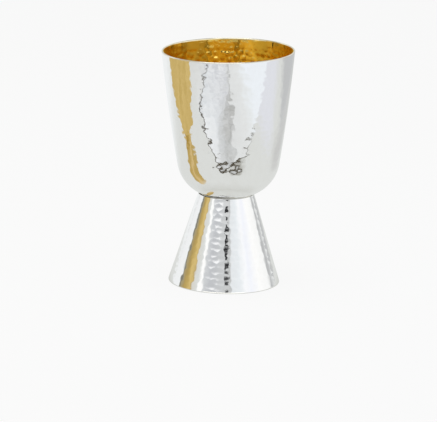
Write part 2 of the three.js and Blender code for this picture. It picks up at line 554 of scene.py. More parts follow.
def foot_depths(level):
    """The marks' depth on the foot, faded near the edge that it stands on and near the bowl."""
    along = level / math.cos(FOOT_SLOPE)
    pressed = hammer_marks(
        along, angles[None, :], lambda s: foot_radius(s * math.cos(FOOT_SLOPE)), FOOT_PLANISHING
    )
    pressed = pressed - pressed.mean()
    top = outer_level[None, :] - level
    return pressed * smooth_step(level, FOOT_EDGE, FOOT_EDGE + FOOT_FADE) * smooth_step(top, 0, FOOT_FADE)


def between(low, high, count):
    """Levels from low to high in even steps, one column for each angle."""
    share = np.linspace(0, 1, count)[:, None]
    return low + (high - low) * share


def rounded_corner(start, corner, end, count):
    """A quadratic curve from start to end that leans on the corner: weights (1-t) squared, 2t(1-t) and
    t squared."""
    t = np.linspace(0, 1, count)[:, None, None]
    return (1 - t) ** 2 * start + 2 * t * (1 - t) * corner + t**2 * end


outside_levels = between(FOOT_EDGE * (1 + math.sin(FOOT_SLOPE)), outer_level - CORNER, FOOT_OUTSIDE_RINGS)
outside_pressed = foot_depths(outside_levels)
inside_levels = between(inner_level, np.zeros(AROUND), FOOT_INSIDE_RINGS)
inside_pressed = foot_depths(np.clip(inside_levels, 0, None))
edge_turn = np.linspace(-math.pi / 2, FOOT_SLOPE, EDGE_RINGS)[:, None]
edge_rings = on_foot(
    BASE_RADIUS - FOOT_EDGE + FOOT_EDGE * np.cos(edge_turn), FOOT_EDGE + FOOT_EDGE * np.sin(edge_turn)
)
outside_rings = on_foot(foot_radius(outside_levels, -outside_pressed), outside_levels)
inside_rings = on_foot(foot_radius(inside_levels, -FOOT_WALL - inside_pressed), inside_levels)
corner_point = on_foot(foot_radius(outer_level), outer_level)
top_end = inside_rings[0]
top_start = corner_point + (top_end - corner_point) * (CORNER / FOOT_WALL)
corner_rings = rounded_corner(outside_rings[-1], corner_point, top_start, CORNER_RINGS)
foot_rings = np.concatenate([edge_rings, outside_rings[1:], corner_rings[1:], inside_rings])
foot_pressed = np.zeros(foot_rings.shape[:2])
foot_pressed[EDGE_RINGS:EDGE_RINGS + FOOT_OUTSIDE_RINGS - 1] = outside_pressed[1:]
foot_silver = mesh_from_rings("foot_silver", foot_rings, foot_pressed, loop=True)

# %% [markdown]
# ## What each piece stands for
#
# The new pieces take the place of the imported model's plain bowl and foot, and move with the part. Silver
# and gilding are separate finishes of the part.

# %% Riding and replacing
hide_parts("bowl")
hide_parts("foot")
for piece in pieces_made:
    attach(piece, "root")
print("pieces made:", [piece.name for piece in pieces_made])

# %% [markdown]
# ## Helpers for shader nodes
#
# The finishes and the studio are all shader nodes, and a node tree written out link by link is hard to
# read. Three small functions make it short: a node with its values, several links at once, and a sum.

# %% Node helpers


def add_node(tree, kind, inputs=None, **settings):
    """A new node in a tree, with its settings and the values of its input sockets."""
    node = tree.nodes.new(kind)
    for name, value in settings.items():
        setattr(node, name, value)
    for name, value in (inputs or {}).items():
        node.inputs[name].default_value = value
    return node


def join(tree, *links):
    """Links pairs of sockets, each given as output, input."""
    for output, target in links:
        tree.links.new(output, target)


def math_node(tree, operation, first, second=None, third=None):
    """A Math node on sockets or plain numbers. Returns its output socket."""
    node = add_node(tree, "ShaderNodeMath", operation=operation)
    for slot, value in zip(node.inputs, (first, second, third)):
        if isinstance(value, bpy.types.NodeSocket):
            tree.links.new(value, slot)
        elif value is not None:
            slot.default_value = value
    return node.outputs[0]


print("helpers:", [helper.__name__ for helper in (add_node, join, math_node)])

# %% [markdown]
# ## What polishing leaves
#
# Both metals are polished by hand after the hammer. What stays is the same on each: hair-fine lines round
# the axis, as a cloth leaves them when the cup is turned in the hand, and a slight ripple. It is one node
# group, so the silver and the gilding share it. It puts out only numbers: a haze for the roughness and a
# height for a bump.

# %% Hand polish
LINE_STRETCH = 14.0
LINE_DETAIL, LINE_ROUGHNESS, RIPPLE_DETAIL = 3.0, 0.65, 1.0
LINE_HEIGHT = 0.12  # of the ripple's


def polish_group():
    """Haze and height of hand polish. The place on the axis is stretched, so noise becomes fine rings."""
    group = bpy.data.node_groups.new("hand polish", "ShaderNodeTree")
    for name in ("Line scale", "Ripple scale"):
        group.interface.new_socket(name, in_out="INPUT", socket_type="NodeSocketFloat")
    for name in ("Haze", "Height"):
        group.interface.new_socket(name, in_out="OUTPUT", socket_type="NodeSocketFloat")
    start, end = group.nodes.new("NodeGroupInput"), group.nodes.new("NodeGroupOutput")
    place = add_node(group, "ShaderNodeTexCoord")
    stretched = add_node(group, "ShaderNodeMapping", {"Scale": (1.0, 1.0, LINE_STRETCH)})
    lines = add_node(group, "ShaderNodeTexNoise", {"Detail": LINE_DETAIL, "Roughness": LINE_ROUGHNESS})
    ripple = add_node(group, "ShaderNodeTexNoise", {"Detail": RIPPLE_DETAIL})
    join(
        group,
        (place.outputs["Object"], stretched.inputs["Vector"]),
        (stretched.outputs["Vector"], lines.inputs["Vector"]),
        (place.outputs["Object"], ripple.inputs["Vector"]),
        (start.outputs["Line scale"], lines.inputs["Scale"]),
        (start.outputs["Ripple scale"], ripple.inputs["Scale"]),
    )
    fine = math_node(group, "MULTIPLY", lines.outputs["Fac"], LINE_HEIGHT)
    height = math_node(group, "ADD", ripple.outputs["Fac"], fine)
    join(group, (lines.outputs["Fac"], end.inputs["Haze"]), (height, end.inputs["Height"]))
    return group


hand_polish = polish_group()
print("shared node group:", hand_polish.name)

# %% [markdown]
# ## Painted shade at the joint, and a worn lip
#
# Two places on the cup differ from the rest: the soldered joint, where a painted shade darkens the metal
# along the gap between bowl and foot, and the rounded lip, where wiping wears the gilding thin. Each is a
# mask worked out from where the point is on the cup. The lip's mask is shared by both metals, so both
# masks are groups.

# %% Masks for the joint and the lip
JOINT_IN, JOINT_OUT, JOINT_RING_SOFT = 0.9 * MM, 0.6 * MM, 0.4 * MM  # from the seat's radius
JOINT_BELOW, JOINT_ABOVE, JOINT_LEVEL_SOFT = 0.75 * MM, 0.60 * MM, 0.15 * MM  # from the seat's level
# how much of the painted joint shade fades away on the right
JOINT_RIGHT_FADE = 0.88
LIP_TOP = BOWL_FOOT_POINT @ LEAN_MATRIX[:, 2] + BOWL_HEIGHT
LIP_UNWORN, LIP_WORN = 0.9 * MM, 0.5 * MM  # below the top of the lip


def soft_step(tree, value, low, high, amount=1.0, start=0.0):
    """The start value below low, the amount above high, and a smooth change between them. High may be
    below low."""
    ends = {"From Min": low, "From Max": high, "To Min": start, "To Max": amount}
    step = add_node(tree, "ShaderNodeMapRange", ends, interpolation_type="SMOOTHSTEP")
    join(tree, (value, step.inputs["Value"]))
    return step.outputs["Result"]


def both(tree, first, second):
    """The product of two masks."""
    return math_node(tree, "MULTIPLY", first, second)


def soft_band(tree, value, low, high, soft):
    """One between low and high and zero outside, with smooth edges: a rise times a fall."""
    rise = soft_step(tree, value, low - soft, low + soft)
    fall = soft_step(tree, value, high - soft, high + soft, 0.0, 1.0)
    return both(tree, rise, fall)


def place_axes(tree, kind="Object"):
    """The X, Y and Z sockets of the shaded point's place. In the sky the kind is Generated, and the place
    is the ray's direction."""
    place = add_node(tree, "ShaderNodeTexCoord")
    axes = add_node(tree, "ShaderNodeSeparateXYZ")
    join(tree, (place.outputs[kind], axes.inputs["Vector"]))
    return axes.outputs["X"], axes.outputs["Y"], axes.outputs["Z"]


def distance_from_axis(tree, x, y, axis_x):
    """Distance from an upright axis: the root of (x - axis) squared + y squared."""
    beside = math_node(tree, "SUBTRACT", x, axis_x)
    squares = math_node(tree, "ADD", math_node(tree, "POWER", beside, 2.0), math_node(tree, "POWER", y, 2.0))
    return math_node(tree, "SQRT", squares)


def mask_group(name, mask_of):
    """A node group with one output, the mask that a function builds in it."""
    group = bpy.data.node_groups.new(name, "ShaderNodeTree")
    group.interface.new_socket("Mask", in_out="OUTPUT", socket_type="NodeSocketFloat")
    end = group.nodes.new("NodeGroupOutput")
    join(group, (mask_of(group), end.inputs["Mask"]))
    return group


def joint_shade_mask(tree):
    """Painted shade along the joint: near one radius and height, and less of it on the right."""
    x, y, z = place_axes(tree)
    radius = distance_from_axis(tree, x, y, FOOT_AXIS)
    ring = soft_band(tree, radius, SEAT_RADIUS - JOINT_IN, SEAT_RADIUS + JOINT_OUT, JOINT_RING_SOFT)
    level = soft_band(tree, z, SEAT_LEVEL - JOINT_BELOW, SEAT_LEVEL + JOINT_ABOVE, JOINT_LEVEL_SOFT)
    left = soft_step(tree, x, -SEAT_RADIUS / 2, SEAT_RADIUS, 1.0 - JOINT_RIGHT_FADE, 1.0)
    return both(tree, both(tree, ring, level), left)


def lip_mask(tree):
    """The top of the bowl, by height along the bowl's own axis."""
    place = add_node(tree, "ShaderNodeTexCoord")
    along = add_node(tree, "ShaderNodeVectorMath", operation="DOT_PRODUCT")
    along.inputs[1].default_value = LEAN_MATRIX[:, 2]
    join(tree, (place.outputs["Object"], along.inputs[0]))
    return soft_step(tree, along.outputs["Value"], LIP_TOP - LIP_UNWORN, LIP_TOP - LIP_WORN)


painted_joint_shade = mask_group("painted joint shade", joint_shade_mask)
worn_lip = mask_group("worn lip", lip_mask)
print("masks:", painted_joint_shade.name, "and", worn_lip.name)

# %% [markdown]
# ## Silver and gilding
#
# Polished silver has almost no colour of its own: it returns all light, a touch less of blue. What tells it
# from chrome is its softness, so the roughness is low but not nothing, and the faintest warm tarnish stays
# in the deepest marks. The gilding is the same metal shader with the colour of fine gold. It looks deep
# amber inside the bowl because light meets gold two or three times before it leaves.

# %% A hand-polished metal
POLISH_LINES, POLISH_RIPPLE = 900.0, 560.0  # scales of the two noises, per metre
SHALLOW, DEEP = -0.03 * MM, 0.07 * MM
SILVER_COLOUR, TARNISHED_SILVER = (0.955, 0.955, 0.945), (0.935, 0.93, 0.915)
GILDING_COLOUR, DEEP_GILDING = (0.82, 0.58, 0.15), (0.70, 0.47, 0.11)
SILVER_SMOOTH, SILVER_HAZY, SILVER_RIPPLE = 0.03, 0.08, 0.015 * MM
GILDING_SMOOTH, GILDING_HAZY, GILDING_RIPPLE = 0.04, 0.10, 0.020 * MM


def metal(name, colour, worn_colour, smooth, hazy, ripple_depth):
    """A hand-polished metal. Its colour goes towards the worn one where the marks are deepest, its
    roughness wanders between two values with the polish lines, and its normal follows a fine ripple."""
    material = bpy.data.materials.new(name)
    material.use_nodes = True
    tree = material.node_tree
    shader = tree.nodes["Principled BSDF"]
    shader.inputs["Metallic"].default_value = 1.0
    polish = add_node(tree, "ShaderNodeGroup", node_tree=hand_polish)
    polish.inputs["Line scale"].default_value = POLISH_LINES
    polish.inputs["Ripple scale"].default_value = POLISH_RIPPLE
    pressed = add_node(tree, "ShaderNodeAttribute", attribute_name="pressed")
    depth = add_node(tree, "ShaderNodeMapRange", {"From Min": SHALLOW, "From Max": DEEP})
    tint = add_node(tree, "ShaderNodeMix", data_type="RGBA")
    tint.inputs["A"].default_value = (*colour, 1.0)
    tint.inputs["B"].default_value = (*worn_colour, 1.0)
    rough = add_node(tree, "ShaderNodeMapRange", {"To Min": smooth, "To Max": hazy})
    bump = add_node(tree, "ShaderNodeBump", {"Strength": 1.0, "Distance": ripple_depth})
    join(
        tree,
        (pressed.outputs["Fac"], depth.inputs["Value"]),
        (depth.outputs["Result"], tint.inputs["Factor"]),
        (tint.outputs["Result"], shader.inputs["Base Color"]),
        (polish.outputs["Haze"], rough.inputs["Value"]),
        (rough.outputs["Result"], shader.inputs["Roughness"]),
        (polish.outputs["Height"], bump.inputs["Height"]),
        (bump.outputs["Normal"], shader.inputs["Normal"]),
    )
    return material


silver = metal("polished silver", SILVER_COLOUR, TARNISHED_SILVER, SILVER_SMOOTH, SILVER_HAZY, SILVER_RIPPLE)
gilding = metal("gilding", GILDING_COLOUR, DEEP_GILDING, GILDING_SMOOTH, GILDING_HAZY, GILDING_RIPPLE)
print("metals:", silver.name, "and", gilding.name)

# %% [markdown]
# ## Painted shade, painted light and wear on the metals
#
# The coats are laid over the finished colours, one at a time: a painted shade along the joint, a dull dark
# line; a painted light at the two sides of the bowl, which makes the gilding paler and brightens its
# reflections there; and a pale, worn lip. One thing is there for the picture's sake. A ray that has met
# gold four times is cut off, and the deepest mirror images would turn black, so the gilding gives such
# rays a little dark gold light of its own.

# %% Coats laid over the metals
# the colour of the painted shade along the joint, and the roughness it adds
JOINT_SHADE_COLOUR, JOINT_ROUGHNESS = (0.14, 0.125, 0.085), 0.35
SILVER_LIP_COLOUR, GILDING_LIP_COLOUR = (0.90, 0.86, 0.76), (0.93, 0.86, 0.66)
# the painted light at the bowl's sides: its colour, and where it begins and is full
SIDES_LIGHT_COLOUR, SIDES_FROM, SIDES_TO = (0.80, 0.645, 0.26), 24.0 * MM, 40.0 * MM
DEPTH_COLOUR, LAST_MIRROR = (0.30, 0.27, 0.08), 3.5


def painted(tree, under, mask, colour):
    """A colour laid over another by a mask. Each colour is a socket or three numbers."""
    mix = add_node(tree, "ShaderNodeMix", data_type="RGBA")
    for name, value in (("A", under), ("B", colour)):
        if isinstance(value, bpy.types.NodeSocket):
            tree.links.new(value, mix.inputs[name])
        else:
            mix.inputs[name].default_value = (*value, 1.0)
    join(tree, (mask, mix.inputs["Factor"]))
    return mix.outputs["Result"]


def lay_over(material, mask, colour):
    """Lays a colour over a metal's own by a mask in its node tree."""
    tree = material.node_tree
    base = tree.nodes["Principled BSDF"].inputs["Base Color"]
    join(tree, (painted(tree, base.links[0].from_socket, mask, colour), base))


def group_mask(material, group):
    """The mask of one of the shared groups, in a material's tree."""
    return add_node(material.node_tree, "ShaderNodeGroup", node_tree=group).outputs["Mask"]


def dull(material, mask, amount):
    """Adds roughness to a metal by a mask."""
    tree = material.node_tree
    rough = tree.nodes["Principled BSDF"].inputs["Roughness"]
    join(tree, (math_node(tree, "MULTIPLY_ADD", mask, amount, rough.links[0].from_socket), rough))


def painted_sides_light_mask(material):
    """Where painted light makes the gilding paler: none in the middle of the bowl and all of it at its two
    sides, by the distance from the middle.
    """
    tree = material.node_tree
    x, _, _ = place_axes(tree)
    return soft_step(tree, math_node(tree, "ABSOLUTE", x), SIDES_FROM, SIDES_TO)


def fill_depths(material, colour):
    """Gives rays that have met metal often enough a little light: its strength is 1 past the last mirror
    and nothing before it."""
    tree = material.node_tree
    shader = tree.nodes["Principled BSDF"]
    path = add_node(tree, "ShaderNodeLightPath")
    deep = math_node(tree, "GREATER_THAN", path.outputs["Ray Depth"], LAST_MIRROR)
    shader.inputs["Emission Color"].default_value = (*colour, 1.0)
    join(tree, (deep, shader.inputs["Emission Strength"]))


# painted shade along the joint: a dull dark line for the shade in the gap between bowl and foot
joint_shade_on_silver = group_mask(silver, painted_joint_shade)
lay_over(silver, joint_shade_on_silver, JOINT_SHADE_COLOUR)
dull(silver, joint_shade_on_silver, JOINT_ROUGHNESS)
lay_over(silver, group_mask(silver, worn_lip), SILVER_LIP_COLOUR)
# painted light: the gilding paler at the bowl's two sides, which brightens its reflections there
lay_over(gilding, painted_sides_light_mask(gilding), SIDES_LIGHT_COLOUR)
lay_over(gilding, group_mask(gilding, worn_lip), GILDING_LIP_COLOUR)
fill_depths(gilding, DEPTH_COLOUR)
for piece, finish in ((bowl_silver, silver), (foot_silver, silver), (bowl_gilding, gilding)):
    piece.data.materials.append(finish)
    print(piece.name, "wears", finish.name)

# %% [markdown]
# ## The studio
#
# Catalogue silver stands on a pale table inside a white tent, and its picture is made by what stands at the
# edge of the tent. The bowl looks down at the table: it shows the table's front edge as a thin dark line
# and a warm board at its left. The foot looks up: it shows the slot that the camera looks through. The
# camera itself sees only white. So the table and the sky give one colour to the camera and another to
# reflections, which a Light Path node tells apart.

# %% Light-giving stage pieces
WHITE = 0.985
FAR = 9.0
EVERYWHERE = (-FAR, FAR, 1.0)


def stage_material(name, colour_of):
    """A plain light-giving material. The function gets the node tree and returns a colour or a socket."""
    material = bpy.data.materials.new(name)
    material.use_nodes = True
    tree = material.node_tree
    tree.nodes.clear()
    output = add_node(tree, "ShaderNodeOutputMaterial")
    glow = add_node(tree, "ShaderNodeEmission")
    colour = colour_of(tree)
    if isinstance(colour, bpy.types.NodeSocket):
        join(tree, (colour, glow.inputs["Color"]))
    else:
        glow.inputs["Color"].default_value = (*colour, 1.0)
    join(tree, (glow.outputs["Emission"], output.inputs["Surface"]))
    return material


def by_ray(tree, to_camera, to_others):
    """One shader to the camera and another to every other ray."""
    path = add_node(tree, "ShaderNodeLightPath")
    mix = add_node(tree, "ShaderNodeMixShader")
    join(
        tree,
        (path.outputs["Is Camera Ray"], mix.inputs["Fac"]),
        (to_others.outputs[0], mix.inputs[1]),
        (to_camera.outputs[0], mix.inputs[2]),
    )
    return mix.outputs[0]


def stage_piece(name, corners, material):
    """A flat stage piece from its corner points."""
    mesh = bpy.data.meshes.new(name)
    mesh.from_pydata(corners, [], [tuple(range(len(corners)))])
    flat = new_object(name, mesh)
    flat.data.materials.append(material)
    return flat


def stage_card(name, corners, material):
    """A flat stage piece that shows only in reflections."""
    card = stage_piece(name, corners, material)
    card.visible_camera = False
    card.visible_diffuse = False
    card.visible_shadow = False
    print("card", name, "with", len(corners), "corners")
    return card


def noise_over(tree, stretch, scale, detail, twist=0.0):
    """Noise over the place on a stage piece, the place stretched by a factor for each axis."""
    place = add_node(tree, "ShaderNodeTexCoord")
    stretched = add_node(tree, "ShaderNodeMapping", {"Scale": stretch})
    noise = add_node(tree, "ShaderNodeTexNoise", {"Scale": scale, "Detail": detail, "Distortion": twist})
    join(
        tree,
        (place.outputs["Object"], stretched.inputs["Vector"]),
        (stretched.outputs["Vector"], noise.inputs["Vector"]),
    )
    return noise.outputs["Fac"]


def layered(tree, x, y, colour, layers):
    """A colour with rectangles laid over it one after another. Each is a band in x and one in y, given as
    low, high and softness, then its colour and how much of it."""
    for x_band, y_band, tone, amount in layers:
        mask = both(tree, soft_band(tree, x, *x_band), soft_band(tree, y, *y_band))
        colour = painted(tree, colour, both(tree, mask, amount), tone)
    return colour


def ramp_over(tree, value, stops, reach):
    """Colours along a line from -reach to +reach, from (place, colour) pairs."""
    ramp = add_node(tree, "ShaderNodeValToRGB")
    join(tree, (math_node(tree, "MULTIPLY_ADD", value, 0.5 / reach, 0.5), ramp.inputs["Fac"]))
    elements = ramp.color_ramp.elements
    while len(elements) < len(stops):
        elements.new(1.0)
    for element, (place, colour) in zip(elements, stops):
        element.position = place / (2 * reach) + 0.5
        element.color = (*colour, 1.0)
    return ramp.outputs["Color"]


print("the camera sees a white of", WHITE)

# %% [markdown]
# ## The table as the bowl sees it
#
# The lower bowl shows nothing but table, so the table's tone is the bowl's tone. It is a warm white that
# goes cooler to the left, lavender and then grey to the right, and darker under the cup. Each of these is
# a rectangle with soft edges, laid over the one before. The nearest dark one is the shade that the edge of
# the table throws.

# %% The table's colours
TABLE_EDGE = -0.170  # the table's front edge, seen by the bowl
TABLE_LAYERS = [
    ((-FAR, -0.02, 0.08), (0.26, FAR, 0.16), (0.89, 0.91, 0.92), 1.0),
    ((0.26, FAR, 0.12), (0.19, FAR, 0.06), (0.55, 0.56, 0.57), 1.0),
    ((0.27, FAR, 0.05), (-FAR, 0.04, 0.07), (0.765, 0.78, 0.835), 1.0),
    ((0.19, 0.29, 0.05), (0.090, FAR, 0.060), (0.60, 0.605, 0.60), 1.0),
    ((0.030, 0.100, 0.03), (TABLE_EDGE, -0.155, 0.015), (0.32, 0.31, 0.27), 0.95),
]
TABLE_COLOUR = (0.728, 0.742, 0.727)
SHADOW_COLOUR = (0.60, 0.605, 0.575)
SHADOW_NEAR, SHADOW_FAR = 0.025, 0.080  # from the cup's axis
SHADOW_SHARE = 0.7


def table_tones(tree, x, y):
    """The table's cream with its layers over it, and the shadow round the cup: all of the shadow's share
    near the axis and none of it far out."""
    radius = distance_from_axis(tree, x, y, 0.0)
    shadow = soft_step(tree, radius, SHADOW_FAR, SHADOW_NEAR, SHADOW_SHARE)
    return painted(tree, layered(tree, x, y, TABLE_COLOUR, TABLE_LAYERS), shadow, SHADOW_COLOUR)


print("layers on the table:", len(TABLE_LAYERS))

# %% [markdown]
# ## The front of the studio
#
# Past the table's edge the bowl sees the front of the studio, and this makes the bright patch in its
# middle, with the dark stretch at its right side. The hammer marks would hardly show in an even colour, so
# cloth hangs there in soft folds, made by a noise that is distorted by itself.

# %% The front's colours
# What stands in front of the table, from left to right: place in metres, colour.
FRONT_STOPS = [
    (-0.36, (0.72, 0.73, 0.72)), (-0.252, (0.77, 0.78, 0.78)), (-0.238, (0.73, 0.76, 0.79)),
    (-0.12, (0.76, 0.785, 0.815)), (-0.080, (0.72, 0.74, 0.765)), (-0.040, (0.56, 0.575, 0.585)),
    (-0.012, (0.47, 0.475, 0.47)), (0.047, (0.46, 0.465, 0.455)), (0.051, (0.76, 0.775, 0.78)),
    (0.15, (0.79, 0.805, 0.81)), (0.20, (0.83, 0.86, 0.88)), (0.26, (0.88, 0.92, 0.97)),
]
FRONT_REACH = 0.40
SLANT, SLANT_FROM, SLANT_TO = 0.046, -0.28, -0.42  # the dark stretch runs to the left with distance
DIM_COLOUR, DIM_FROM, DIM_TO = (0.65, 0.665, 0.70), -0.25, -0.38  # further out all is dimmer
NEAR_FROM, NEAR_TO, NEAR_SHARE = -0.255, -0.175, 0.8  # where the front meets the table
DARK_STRETCH, DARK_COLOUR = (-0.046, 0.051, 0.006), (0.57, 0.585, 0.59)
PALE_STRETCH, PALE_COLOUR = (-0.215, -0.058, 0.014), (0.86, 0.88, 0.90)
LEFT_STRETCH = (-FAR, 0.02, 0.03)
FOLDED_STRETCH, FOLD_COLOUR = (-0.22, 0.047, 0.004), (0.97, 0.985, 1.0)
FOLD_STRETCH, FOLD_SCALE, FOLD_DETAIL, FOLD_TWIST = (1.0, 1.2, 1.0), 17.0, 2.0, 1.0
FOLD_LOW, FOLD_HIGH, FOLD_SHARE = 0.4, 0.6, 0.6  # where in the noise a fold begins to be bright
FOLD_NEAR = 0.45  # of that, what is left near the table
FOLD_SWAY = 0.16  # how far the folds push the stretches sideways


def front_tones(tree, x, y):
    """The stops from left to right, slanted with distance and swaying with the folds, with one coat after
    another over them: the dimness far out, the two stretches that meet the table, and the folds."""
    fold = noise_over(tree, FOLD_STRETCH, FOLD_SCALE, FOLD_DETAIL, FOLD_TWIST)
    far = soft_step(tree, y, SLANT_FROM, SLANT_TO)
    shift = math_node(tree, "MULTIPLY_ADD", math_node(tree, "SUBTRACT", fold, 0.5), FOLD_SWAY, SLANT)
    slanted = math_node(tree, "MULTIPLY_ADD", far, shift, x)
    lit = soft_step(tree, fold, FOLD_LOW, FOLD_HIGH, FOLD_SHARE)
    lit = both(tree, lit, math_node(tree, "MULTIPLY_ADD", far, 1.0 - FOLD_NEAR, FOLD_NEAR))
    near = soft_step(tree, y, NEAR_FROM, NEAR_TO, NEAR_SHARE)
    coats = [
        (LEFT_STRETCH, soft_step(tree, y, DIM_FROM, DIM_TO), DIM_COLOUR),
        (DARK_STRETCH, near, DARK_COLOUR),
        (PALE_STRETCH, near, PALE_COLOUR),
        (FOLDED_STRETCH, lit, FOLD_COLOUR),
    ]
    colour = ramp_over(tree, slanted, FRONT_STOPS, FRONT_REACH)
    for stretch, amount, tone in coats:
        colour = painted(tree, colour, both(tree, soft_band(tree, slanted, *stretch), amount), tone)
    return colour


print("stops of the front:", len(FRONT_STOPS))

# %% [markdown]
# ## The floor
#
# One plane is both the picture's white ground and the table that the bowl mirrors. The camera sees white
# with a breath of shadow, a reflected ray sees the table's tones and past its edge the front's, and from
# below the plane is clear, so that the foot's hollow can be looked into.

# %% The pale floor
FLOOR_SHOWN = 0.86
FLOOR_SHADED = (0.12, 0.12, 0.12, 1.0)
FLOOR_REACH = 6.0
FLOOR_LEVEL = -0.0001
EDGE_SOFT = 0.0012


def floor_tones(tree):
    """The table's tones up to its front edge and the front's tones past it."""
    x, y, _ = place_axes(tree)
    past_edge = soft_band(tree, y, -FAR, TABLE_EDGE, EDGE_SOFT)
    return painted(tree, table_tones(tree, x, y), past_edge, front_tones(tree, x, y))


def show_floor_white(material):
    """Turns what the camera sees of a floor into white plus a little diffuse, which takes the shadow, and
    makes the floor's underside clear."""
    tree = material.node_tree
    output, glow = tree.nodes["Material Output"], tree.nodes["Emission"]
    shown = add_node(tree, "ShaderNodeEmission", {"Color": (1, 1, 1, 1), "Strength": FLOOR_SHOWN})
    shaded = add_node(tree, "ShaderNodeBsdfDiffuse", {"Color": FLOOR_SHADED})
    white = add_node(tree, "ShaderNodeAddShader")
    face = add_node(tree, "ShaderNodeNewGeometry")
    clear = add_node(tree, "ShaderNodeBsdfTransparent")
    by_side = add_node(tree, "ShaderNodeMixShader")
    join(
        tree,
        (shown.outputs[0], white.inputs[0]),
        (shaded.outputs[0], white.inputs[1]),
        (face.outputs["Backfacing"], by_side.inputs["Fac"]),
        (by_ray(tree, white, glow), by_side.inputs[1]),
        (clear.outputs[0], by_side.inputs[2]),
        (by_side.outputs[0], output.inputs["Surface"]),
    )


floor_material = stage_material("floor", floor_tones)
show_floor_white(floor_material)
corner_signs = ((-1, -1), (1, -1), (1, 1), (-1, 1))
floor_corners = [(x * FLOOR_REACH, y * FLOOR_REACH, FLOOR_LEVEL) for x, y in corner_signs]
stage_piece("floor", floor_corners, floor_material)
print("floor with", len(floor_material.node_tree.nodes), "nodes")

# %% [markdown]
# ## The warm board
#
# A board of warm wood lies at the left of the table, and the bowl shows it as the long golden streak. The
# streak's outline was carried back, point by point, along the mirror rays to the table, and that gave the
# board's outline: wide where it goes off to the left and a tongue where it comes near. The grain runs
# along it, and a knot sits where it narrows.

# %% The warm board
CARD_LIFT = 0.0004  # flat cards lie this far above the table
BOARD_WAIST, BOARD_END = -0.240, -0.070
BOARD_LIGHT, BOARD_DARK = (0.665, 0.495, 0.195), (0.54, 0.385, 0.125)
GRAIN_STRETCH, GRAIN_SCALE, GRAIN_DETAIL = (0.5, 1.7, 0.6), 14.0, 3.0
GRAIN_CONTRAST, GRAIN_START = 2.6, -0.8
NEAR_PART = (BOARD_WAIST, 0.0, 0.010)
KNOT_PART = (BOARD_WAIST - 0.008, BOARD_WAIST + 0.006, 0.006)
BOARD_LAYERS = [
    (NEAR_PART, EVERYWHERE, (0.40, 0.27, 0.075), 0.45),
    (NEAR_PART, (-0.036, -0.016, 0.010), (0.68, 0.50, 0.23), 1.0),
    (KNOT_PART, (-0.020, 0.030, 0.012), (0.34, 0.20, 0.02), 0.85),
    ((BOARD_END, 0.0, 0.014), EVERYWHERE, (0.68, 0.58, 0.41), 1.0),
]


def board_tones(tree):
    """Wood with its grain, a noise whose contrast is raised and which is cut off at nothing and one. The
    layers over it make the near part darker and its middle lighter, the knot brown and the tip pale."""
    x, y, _ = place_axes(tree)
    grain = noise_over(tree, GRAIN_STRETCH, GRAIN_SCALE, GRAIN_DETAIL)
    raised = math_node(tree, "MULTIPLY_ADD", grain, GRAIN_CONTRAST, GRAIN_START)
    grain = math_node(tree, "MAXIMUM", math_node(tree, "MINIMUM", raised, 1.0), 0.0)
    return layered(tree, x, y, painted(tree, BOARD_DARK, grain, BOARD_LIGHT), BOARD_LAYERS)


board_outline = [
    (-0.244, -0.045), (-0.254, -0.084), (-0.289, -0.100), (-0.318, -0.122), (-0.355, -0.132),
    (-0.42, -0.170), (-0.60, -0.26), (-0.60, 0.360), (-0.421, 0.234), (-0.380, 0.230), (-0.348, 0.178),
    (-0.316, 0.129), (-0.285, 0.076), (-0.258, 0.040), (-0.244, 0.022), (-0.210, 0.018), (-0.170, 0.006),
    (-0.134, -0.002), (-0.088, -0.006), (-0.072, -0.011), (-0.062, -0.021), (-0.060, -0.033),
    (-0.067, -0.046), (-0.084, -0.055), (-0.110, -0.064), (-0.150, -0.068), (-0.187, -0.069),
    (-0.212, -0.058), (-0.232, -0.048),
]
stage_card("board", [(x, y, CARD_LIFT) for x, y in board_outline], stage_material("warm board", board_tones))

# %% [markdown]
# ## The table's edge and the slot
#
# The thin dark line round the bright patch is painted shade: the shade along the table's front edge, and
# along its turn to the front at the left, laid as dark strips. Drawn as straight strips it comes out jagged,
# because each hammer mark bends it its own way. The black strokes down the foot are one slot in the tent,
# the one that the camera looks through, in three lengths with gaps between.

# %% The shade along the table's edge, and the slot
# the colour of the painted shade along the table's edge, and the colour of the slot
EDGE_SHADE_COLOUR, SLOT_COLOUR = (0.065, 0.050, 0.028), (0.02, 0.02, 0.022)
edge_shade = stage_material("edge shade", lambda tree: EDGE_SHADE_COLOUR)
slot_dark = stage_material("dark slot", lambda tree: SLOT_COLOUR)
edge_front = [
    (-0.236, -0.1755), (-0.200, -0.1735), (-0.094, -0.1680), (-0.040, -0.1625), (0.0, -0.1615),
    (0.060, -0.1640), (0.150, -0.1690), (0.235, -0.1695), (0.235, -0.1715), (0.150, -0.1745),
    (0.080, -0.1750), (0.0, -0.1735), (-0.060, -0.1740), (-0.094, -0.1785), (-0.188, -0.1830),
    (-0.246, -0.1875),
]
edge_side = [
    (-0.234, -0.180), (-0.238, -0.250), (-0.240, -0.380),
    (-0.250, -0.380), (-0.248, -0.250), (-0.244, -0.183),
]
stage_card("edge_front", [(x, y, CARD_LIFT) for x, y in edge_front], edge_shade)
stage_card("edge_side", [(x, y, CARD_LIFT) for x, y in edge_side], edge_shade)

SLOT_Y = -0.6
slot_parts = {
    "slot_low": [(0.014, 0.2130), (0.104, 0.2130), (0.106, 0.2195), (0.016, 0.2195)],
    "slot_middle": [(0.016, 0.2220), (0.108, 0.2220), (0.110, 0.2290), (0.018, 0.2290)],
    "slot_high": [
        (0.008, 0.2305), (0.108, 0.2305), (0.102, 0.250), (0.090, 0.272), (-0.014, 0.272), (-0.006, 0.250),
    ],
}
for part, outline in slot_parts.items():
    stage_card(part, [(x, SLOT_Y, z) for x, z in outline], slot_dark)

